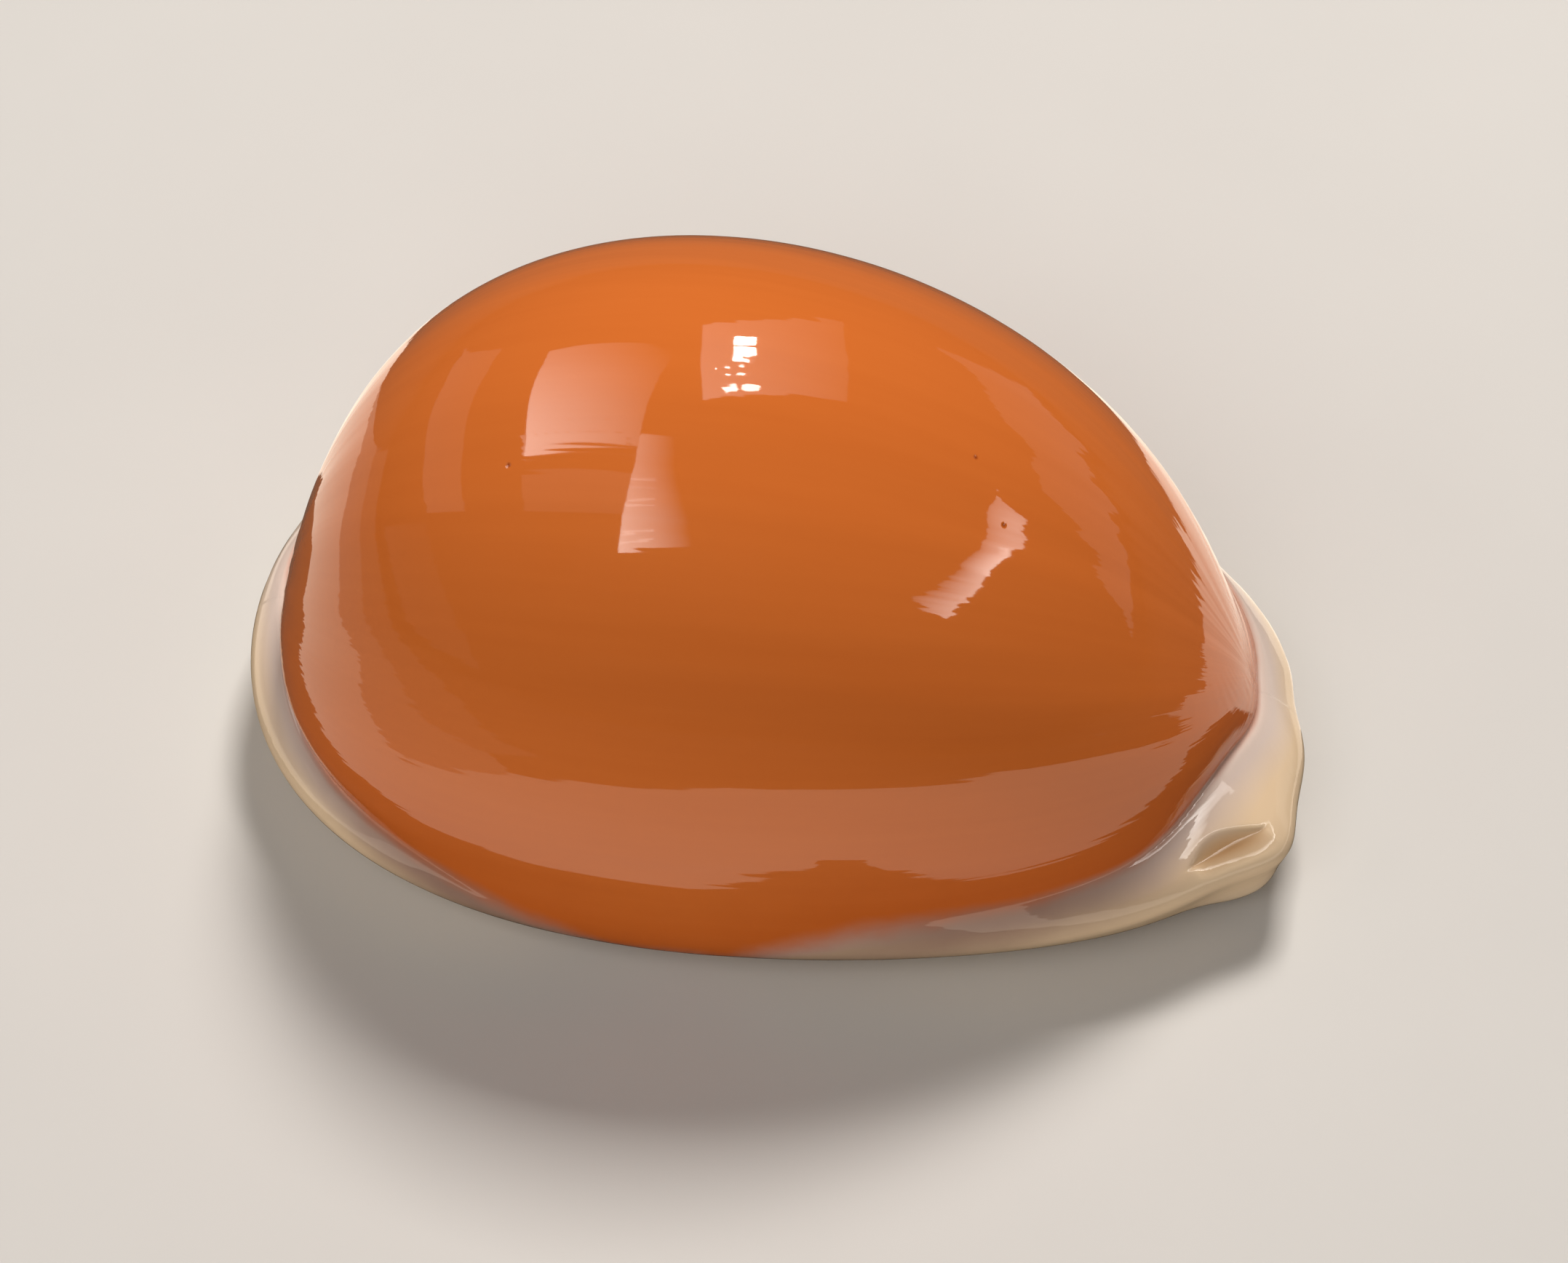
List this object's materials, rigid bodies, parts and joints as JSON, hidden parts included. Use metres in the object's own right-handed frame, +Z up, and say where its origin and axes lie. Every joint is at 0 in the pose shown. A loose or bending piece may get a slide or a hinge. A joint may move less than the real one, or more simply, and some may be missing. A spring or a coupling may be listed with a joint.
{
  "type": "cowrie shell",
  "caption": "Golden cowrie shell: glossy orange dome with cream rims at both ends, a flat pale base and a long toothed slit into a hollow inside.",
  "frame": {"origin": "middle of the shell's box, on the surface that it rests on", "axes": "+X towards the front (anterior) end, -Y towards the outer lip, +Z up through the domed back"},
  "size_m": [0.0944, 0.0622, 0.0506],
  "materials": {
    "enamel": "polished natural enamel: orange back, mauve to cream rims, cream base, orange teeth"
  },
  "bodies": {
    "root": {"cowrie_shell": "enamel"}
  },
  "joints": []
}
